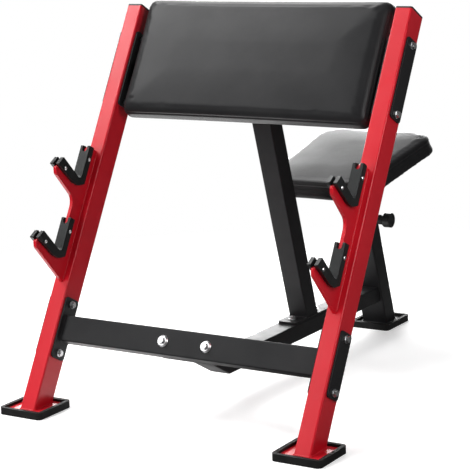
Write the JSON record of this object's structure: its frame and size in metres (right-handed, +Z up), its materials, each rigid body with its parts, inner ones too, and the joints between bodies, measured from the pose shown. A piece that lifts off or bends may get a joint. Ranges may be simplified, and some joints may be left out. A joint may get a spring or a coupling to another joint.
{
  "type": "preacher curl bench",
  "caption": "Preacher curl bench: sloped arm pad between leaning uprights with bar hooks, and a padded seat on a pin-locked sliding post.",
  "frame": {"origin": "on the floor, in the middle of the bench's bounding box", "axes": "+Z up, +Y from the hooks towards the seat, +X to the right of someone who faces the hooks"},
  "size_m": [0.826, 1.119, 0.8833],
  "materials": {
    "red_coat": "glossy powder coat",
    "black_coat": "satin powder coat",
    "rubber": "matt moulded rubber",
    "black_plastic": "fine moulded grain",
    "zinc_steel": "bright zinc plate",
    "vinyl": "smooth stretched vinyl, soft sheen",
    "board": "board under black backing cloth"
  },
  "bodies": {
    "frame": {"arm_pad_board": "board", "arm_pad_bolts": "zinc_steel", "arm_pad_cushion": "vinyl", "arm_pad_tee_nuts": "zinc_steel", "beam_front_arm": "black_coat", "beam_front_plate": "black_coat", "centre_post": "black_coat", "cross_tube_bolts": "zinc_steel", "flange_bolts": "zinc_steel", "frame_nuts": "zinc_steel", "frame_washers": "zinc_steel", "hook_liner_nuts": "zinc_steel", "hook_liner_screws": "zinc_steel", "left_foot_plate": "red_coat", "left_foot_shoe": "rubber", "left_hook_plate": "red_coat", "left_lower_backing_plate": "black_coat", "left_lower_flange": "black_coat", "left_lower_hook_liner": "black_plastic", "left_upper_backing_plate": "black_coat", "left_upper_flange": "black_coat", "left_upper_hook_liner": "black_plastic", "left_upright": "red_coat", "left_upright_cap": "black_plastic", "lower_cross_tube": "black_coat", "main_beam": "black_coat", "pad_cross_bar": "black_coat", "post_base_bolts": "zinc_steel", "post_base_plate": "black_coat", "post_top_bolts": "zinc_steel", "post_top_plate": "black_coat", "pull_pin_housing": "black_coat", "pull_pin_spring": "zinc_steel", "rear_foot_plate": "black_coat", "rear_foot_shoe": "rubber", "right_foot_plate": "red_coat", "right_foot_shoe": "rubber", "right_hook_plate": "red_coat", "right_lower_backing_plate": "black_coat", "right_lower_flange": "black_coat", "right_lower_hook_liner": "black_plastic", "right_upper_backing_plate": "black_coat", "right_upper_flange": "black_coat", "right_upper_hook_liner": "black_plastic", "right_upright": "red_coat", "right_upright_cap": "black_plastic", "seat_sleeve": "black_coat", "sleeve_bushing": "black_plastic"},
    "seat": {"seat_post": "black_coat", "seat_post_plug": "black_plastic", "seat_plate": "black_coat", "seat_board": "board", "seat_cushion": "vinyl", "seat_bolts": "zinc_steel", "seat_tee_nuts": "zinc_steel"},
    "pin": {"pull_pin": "zinc_steel", "pull_pin_knob": "black_plastic"}
  },
  "joints": [
    {"name": "seat_height", "type": "slide", "parent": "frame", "child": "seat", "axis": [0, -0.3007, 0.9537], "range_m": [0, 0.15]},
    {"name": "pin_pull", "type": "slide", "parent": "frame", "child": "pin", "axis": [1, 0, 0], "range_m": [0, 0.01], "stiffness_N_per_m": 1500, "springref_m": -0.005, "deforming": ["pull_pin_spring"]}
  ]
}
